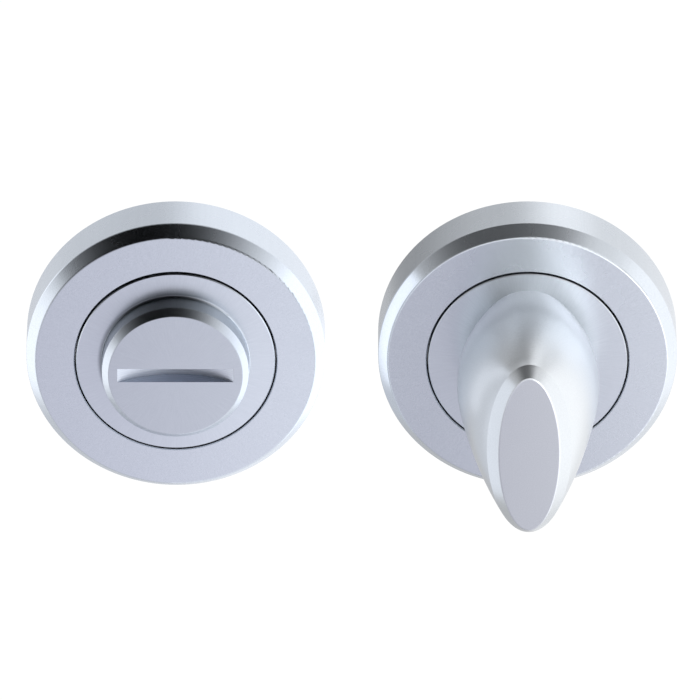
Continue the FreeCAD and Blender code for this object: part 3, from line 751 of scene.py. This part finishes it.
extend(bore, BORE_FLOOR, BORE_POINT - BORE_FLOOR, POINT_NARROWED)
combine(posts, bore, "DIFFERENCE")
mouth = add_rod("post_mouth", INSIDE_BORE, POST_END - 2 * MOUTH_DEPTH, POST_END - MOUTH_DEPTH)
extend(mouth, POST_END - MOUTH_DEPTH, MOUTH_DEPTH, MOUTH_RADIUS / INSIDE_BORE)
extend(mouth, POST_END, CLEAR_OF_END)
combine(posts, mouth, "DIFFERENCE")
tap = thread_rod("post_tap", INSIDE_BORE, TAP_RADIUS, TAPPED_FROM, POST_END + CLEAR_OF_END)
combine(posts, tap, "DIFFERENCE")
made, tree, shader, place = zinc_plate("post_zinc_plate")
lines = effect(tree, DRAWN, place, streak_width=DRAWN_WIDTH, streak_length=POST_STREAK_LENGTH)
relief(tree, shader, product(tree, lines, POST_STREAK_DEPTH))
finish_pair(posts, "release_posts_tapped", "release_posts", RELEASE_X, made)


# Floor and room
# A plain pale floor well below the roses, clear when looked at from underneath, in an even white room. Metal
# doesn't see either: it sees only the tents and the card below, so the white ground leaves its shades alone.
FLOOR_DROP = 300 * MM
FLOOR_SIZE = 12.0
FLOOR_COLOUR = (0.75, 0.75, 0.75, 1.0)
FLOOR_ROUGHNESS = 0.9
FLOOR_GLOW = 0.28
WHITE = (1.0, 1.0, 1.0, 1.0)
bpy.ops.object.select_all(action="DESELECT")
bpy.ops.mesh.primitive_plane_add(size=FLOOR_SIZE, location=(0, 0, cad_low.z - FLOOR_DROP))
floor = bpy.context.active_object
floor.name = "floor"
floor.visible_glossy = False
made, tree, shader = new_material("floor_paper")
shader.inputs["Base Color"].default_value = FLOOR_COLOUR
shader.inputs["Roughness"].default_value = FLOOR_ROUGHNESS
shader.inputs["Specular IOR Level"].default_value = 0.0
shader.inputs["Emission Color"].default_value = WHITE
shader.inputs["Emission Strength"].default_value = FLOOR_GLOW
side = tree.nodes.new("ShaderNodeNewGeometry")
tree.links.new(math_node(tree, "SUBTRACT", 1.0, side.outputs["Backfacing"]), shader.inputs["Alpha"])
floor.data.materials.append(made)
world = bpy.data.worlds.new("studio")
world.use_nodes = True
bpy.context.scene.world = world
tree = world.node_tree
room = tree.nodes["Background"]
room.inputs["Color"].default_value = WHITE
ray = tree.nodes.new("ShaderNodeLightPath")
tree.links.new(math_node(tree, "SUBTRACT", 1.0, ray.outputs["Is Glossy Ray"]), room.inputs["Strength"])


# Tents
# Each rose was photographed by itself inside a white tent, with its own lamps outside the cloth. Here each
# has a tent too, which lights only its own pieces. It is darker on the left, with soft lamps and flags.
TENT_RADIUS = 180 * MM
TENT_SEGMENTS = 48
TENT_RINGS = 24
TENT_MIDDLE_Y = -10.5 * MM
TENT_CHANGE = (-0.12, 0.20)
TENT_LAVENDER = (1.0, 0.987, 1.12)
TENT_LAVENDER_ON_LIT_SIDE = 0.4
RELEASE_CLOTH = (0.985, 1.0, 1.04)
RELEASE_SIDES = (0.75, 1.13)
TURN_CLOTH = (1.0, 1.0, 1.01)
TURN_SIDES = (0.64, 1.02)

# A patch of a tent is the azimuth of its middle, where 0 faces the room and 90 is to the right, its
# elevation, and the angles to which it is full and past which it is gone. Lamps and flags start with a level.
TENT_LAVENDER_PATCH = (0, -29, 20, 60)
RELEASE_LAMPS = ((0.55, 94, -13, 22, 51), (0.78, -106, -10, 24, 40), (0.10, 180, 29, 25, 60),
                 (0.5, 40, 4, 10, 26), (0.06, 0, -46, 8, 26))
RELEASE_FLAGS = ((1.0, -36, 63, 22, 80),)
TURN_LAMPS = ((0.43, 99, -8, 28, 49), (0.50, -108, -14, 16, 34), (0.62, 0, 38, 14, 36), (1.5, 33, 6, 9, 24),
              (0.35, -28, 2, 8, 26), (0.38, 180, 42, 14, 34), (0.65, 45, -26, 9, 27))
TURN_FLAGS = ((0.83, -108, 76, 23, 56), (0.4, -172, 15, 8, 22), (0.4, -150, 1, 6, 18), (0.15, 4, 17, 6, 18))


def hide_from_all_but_metal(piece):
    """Leaves a light source visible to reflections only."""
    piece.visible_camera = False
    piece.visible_diffuse = False
    piece.visible_shadow = False
    piece.visible_transmission = False


def new_glow(name):
    """A material with an empty tree, a plain glow and a clear shader in it, and the output they lead to."""
    made = bpy.data.materials.new(name)
    made.use_nodes = True
    made.cycles.emission_sampling = "NONE"
    nodes = made.node_tree.nodes
    nodes.clear()
    kinds = ("ShaderNodeEmission", "ShaderNodeBsdfTransparent", "ShaderNodeOutputMaterial")
    return made, made.node_tree, *(nodes.new(kind) for kind in kinds)


def panel(tree, unit, azimuth, elevation, full, gone):
    """A soft-edged round patch of a tent: 1 within the full angle of its middle, and 0 where it is gone."""
    azimuth, elevation, full, gone = map(math.radians, (azimuth, elevation, full, gone))
    middle = (math.sin(azimuth) * math.cos(elevation), -math.cos(azimuth) * math.cos(elevation),
              math.sin(elevation))
    return fade(tree, vector_node(tree, "DOT_PRODUCT", unit, middle), math.cos(gone), math.cos(full))


def tent(rose, cloth_colour, sides, lamps, flags, new_piece):
    """The tent of one rose. It glows and is clear as well, so that one tent doesn't hide the other."""
    bpy.ops.object.select_all(action="DESELECT")
    bpy.ops.mesh.primitive_uv_sphere_add(segments=TENT_SEGMENTS, ring_count=TENT_RINGS, radius=TENT_RADIUS,
                                         location=(ROSES[rose], TENT_MIDDLE_Y, 0))
    cloth = bpy.context.active_object
    cloth.name = rose + "_tent"
    hide_from_all_but_metal(cloth)
    made, tree, glow, clear, surface = new_glow(rose + "_tent_cloth")
    place = tree.nodes.new("ShaderNodeTexCoord")
    unit = vector_node(tree, "NORMALIZE", place.outputs["Object"])
    side = fade(tree, parts_of(tree, unit)["X"], *TENT_CHANGE)
    light = between(tree, side, *sides)
    for level, *patch in lamps:
        light = math_node(tree, "ADD", light, product(tree, panel(tree, unit, *patch), level))
    for level, *patch in flags:
        kept = math_node(tree, "SUBTRACT", 1.0, product(tree, panel(tree, unit, *patch), level))
        light = product(tree, light, kept)
    tree.links.new(light, glow.inputs["Strength"])
    tinted = product(tree, panel(tree, unit, *TENT_LAVENDER_PATCH),
                     between(tree, side, 1.0, TENT_LAVENDER_ON_LIT_SIDE))
    tree.links.new(blend_colours(tree, tinted, cloth_colour, TENT_LAVENDER), glow.inputs["Color"])
    both = tree.nodes.new("ShaderNodeAddShader")
    tree.links.new(glow.outputs[0], both.inputs[0])
    tree.links.new(clear.outputs[0], both.inputs[1])
    tree.links.new(both.outputs[0], surface.inputs["Surface"])
    cloth.data.materials.append(made)
    lit = bpy.data.collections.new(rose + "_lit")
    for node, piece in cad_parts.items():
        if node.startswith(rose):
            lit.objects.link(piece)
    lit.objects.link(new_piece)
    cloth.light_linking.receiver_collection = lit


tent("release", RELEASE_CLOTH, RELEASE_SIDES, RELEASE_LAMPS, RELEASE_FLAGS, posts)
tent("turn", TURN_CLOTH, TURN_SIDES, TURN_LAMPS, TURN_FLAGS, bolts)


# Divider card
# A white card stands between the roses, so that neither is mirrored in the other's side, as when each was
# photographed by itself. It glows towards both, its edges are soft, and only metal sees it.
CARD_X = -30.6 * MM
CARD_Y = (-50 * MM, 2 * MM)
CARD_Z = (-36 * MM, 22 * MM)
CARD_SOFT = 4 * MM
CARD_COLOUR = (0.96, 0.99, 1.06, 1.0)
CARD_TO_RELEASE = (0.9, 1.7)
CARD_TO_RELEASE_Y = (-24 * MM, -17 * MM)
CARD_TO_TURN = (1.2, 0.78)
CARD_TO_TURN_Y = (-32 * MM, -22 * MM)
CARD_BESIDE_RIM = 0.85
CARD_BESIDE_RIM_Y = (-12 * MM, -10 * MM)
CARD_BESIDE_RIM_Z = (-14 * MM, -8 * MM)
CARD_PAST_RIM_Y = (-5 * MM, -8 * MM)
bpy.ops.object.select_all(action="DESELECT")
bpy.ops.mesh.primitive_plane_add(size=1.0, rotation=(0, QUARTER_TURN, 0))
card = bpy.context.active_object
card.name = "divider_card"
bpy.ops.object.transform_apply(location=False, rotation=True, scale=False)
bpy.ops.transform.resize(value=(1, CARD_Y[1] - CARD_Y[0], CARD_Z[1] - CARD_Z[0]))
bpy.ops.transform.translate(value=(CARD_X, sum(CARD_Y) / 2, sum(CARD_Z) / 2))
bpy.ops.object.transform_apply(location=True, rotation=True, scale=True)
hide_from_all_but_metal(card)
made, tree, glow, clear, surface = new_glow("divider_card_paper")
parts = parts_of(tree, tree.nodes.new("ShaderNodeTexCoord").outputs["Object"])
solid = product(tree, *(fade(tree, parts[part], edge, edge + inwards)
                        for part, (low, high) in (("Y", CARD_Y), ("Z", CARD_Z))
                        for edge, inwards in ((low, CARD_SOFT), (high, -CARD_SOFT))))
to_release = limits(tree, parts["Y"], CARD_TO_RELEASE_Y, CARD_TO_RELEASE, eased=True)
beside_rim = product(tree, fade(tree, parts["Y"], *CARD_BESIDE_RIM_Y),
                     fade(tree, parts["Z"], *CARD_BESIDE_RIM_Z),
                     fade(tree, parts["Y"], *CARD_PAST_RIM_Y), CARD_BESIDE_RIM)
to_turn = limits(tree, parts["Y"], CARD_TO_TURN_Y, CARD_TO_TURN, eased=True)
to_turn = math_node(tree, "ADD", to_turn, beside_rim)
back = tree.nodes.new("ShaderNodeNewGeometry").outputs["Backfacing"]
glow.inputs["Color"].default_value = CARD_COLOUR
tree.links.new(mixed(tree, (to_release, back), (to_turn, math_node(tree, "SUBTRACT", 1.0, back))),
               glow.inputs["Strength"])
both = tree.nodes.new("ShaderNodeMixShader")
tree.links.new(solid, both.inputs["Fac"])
tree.links.new(clear.outputs[0], both.inputs[1])
tree.links.new(glow.outputs[0], both.inputs[2])
tree.links.new(both.outputs[0], surface.inputs["Surface"])
card.data.materials.append(made)


# Camera
# It looks down by 29 degrees from 3 m away through a long lens, which is between the views that the halves
# of the photograph were taken from, and is aimed so that both roses lie where they do there.
ELEVATION = math.radians(29.0)
CAMERA_DISTANCE = 3.0
SENSOR_WIDTH = 36.0
PICTURE_WIDTH = 121.665 * MM
AIM_UP = 1.947 * MM
AIM_LEFT = 0.285 * MM
NEAREST = 0.1
FURTHEST = 100.0
backwards = Vector((0, -math.cos(ELEVATION), math.sin(ELEVATION)))
upwards = Vector((0, math.sin(ELEVATION), math.cos(ELEVATION)))
aim = Vector(((RELEASE_X + TURN_X) / 2 - AIM_LEFT, TENT_MIDDLE_Y, 0)) + upwards * AIM_UP
camera_data = bpy.data.cameras.new("camera")
camera_data.sensor_width = SENSOR_WIDTH
camera_data.lens = SENSOR_WIDTH * CAMERA_DISTANCE / PICTURE_WIDTH
camera_data.clip_start = NEAREST
camera_data.clip_end = FURTHEST
camera = bpy.data.objects.new("camera", camera_data)
bpy.context.collection.objects.link(camera)
camera.location = aim + backwards * CAMERA_DISTANCE
camera.rotation_euler = (QUARTER_TURN - ELEVATION, 0, 0)
bpy.context.scene.camera = camera
bpy.context.scene.view_settings.view_transform = "Standard"
